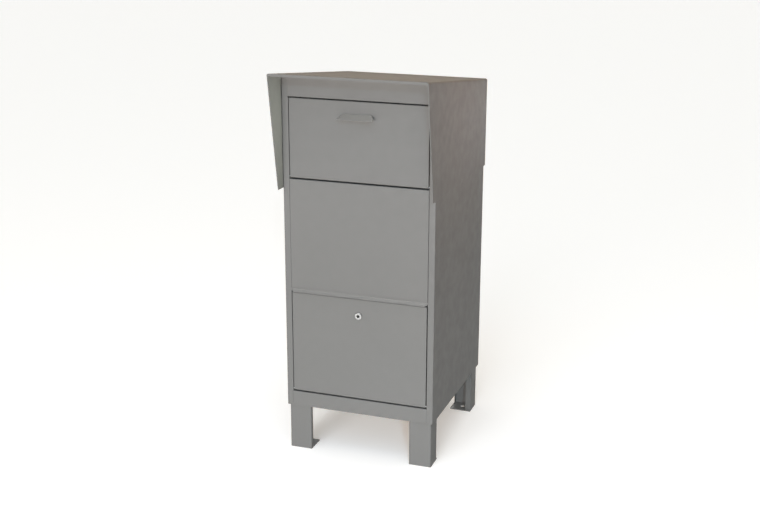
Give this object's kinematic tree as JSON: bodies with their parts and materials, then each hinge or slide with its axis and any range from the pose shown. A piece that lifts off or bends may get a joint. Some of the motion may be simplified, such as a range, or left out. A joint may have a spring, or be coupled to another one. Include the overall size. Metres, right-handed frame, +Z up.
{
  "type": "hooded parcel drop box",
  "caption": "Free-standing steel drop box on legs, with a sloping rain hood, a bottom-hinged hopper door with a pull and a lockable access door below.",
  "frame": {"origin": "on the floor, under the centre of the whole box with its hood", "axes": "+Z up, -Y out of the front with the doors, +X to the right as seen from the front"},
  "size_m": [0.514, 0.672, 1.279],
  "materials": {
    "cabinet_paint": "satin grey powder coat with light edge wear",
    "zinc_steel": "bright zinc plate",
    "lock_chrome": "polished",
    "bumper_rubber": "matt black"
  },
  "bodies": {
    "cabinet": {"side_panel_left": "cabinet_paint", "side_panel_right": "cabinet_paint", "header_panel": "cabinet_paint", "middle_panel": "cabinet_paint", "drip_lip": "cabinet_paint", "latch_rail": "cabinet_paint", "bottom_rail": "cabinet_paint", "back_panel": "cabinet_paint", "floor_pan": "cabinet_paint", "hood": "cabinet_paint", "stop_bracket_left": "cabinet_paint", "stop_bracket_right": "cabinet_paint", "leg_front_left": "cabinet_paint", "foot_plate_front_left": "cabinet_paint", "leg_front_right": "cabinet_paint", "foot_plate_front_right": "cabinet_paint", "leg_rear_left": "cabinet_paint", "foot_plate_rear_left": "cabinet_paint", "leg_rear_right": "cabinet_paint", "foot_plate_rear_right": "cabinet_paint", "drop_hinge_rod": "zinc_steel", "access_hinge_rod": "zinc_steel", "leg_bolt_front_left": "zinc_steel", "leg_nut_front_left": "zinc_steel", "leg_bolt_front_right": "zinc_steel", "leg_nut_front_right": "zinc_steel", "leg_bolt_rear_left": "zinc_steel", "leg_nut_rear_left": "zinc_steel", "leg_bolt_rear_right": "zinc_steel", "leg_nut_rear_right": "zinc_steel", "drop_bumper_left": "bumper_rubber", "drop_bumper_right": "bumper_rubber", "access_bumper_left": "bumper_rubber", "access_bumper_right": "bumper_rubber"},
    "drop_door": {"drop_door_panel": "cabinet_paint", "door_pull": "cabinet_paint", "hopper_tray": "cabinet_paint", "hopper_cheek_left": "cabinet_paint", "hopper_cheek_right": "cabinet_paint", "stop_pin_left": "zinc_steel", "stop_pin_right": "zinc_steel"},
    "access_door": {"access_door_panel": "cabinet_paint", "lock_housing": "lock_chrome", "lock_nut": "zinc_steel"},
    "lock_core": {"lock_core": "lock_chrome", "lock_cam": "zinc_steel", "cam_screw": "zinc_steel"}
  },
  "joints": [
    {"name": "drop_door_hinge", "type": "hinge", "parent": "cabinet", "child": "drop_door", "pos_m": [0, -0.23, 0.9412], "axis": [1, 0, 0], "range_deg": [0, 90]},
    {"name": "access_door_hinge", "type": "hinge", "parent": "cabinet", "child": "access_door", "pos_m": [0, -0.23, 0.215], "axis": [1, 0, 0], "range_deg": [0, 120]},
    {"name": "lock_turn", "type": "hinge", "parent": "access_door", "child": "lock_core", "pos_m": [0, -0.234, 0.498], "axis": [0, 1, 0], "range_deg": [0, 90]}
  ]
}
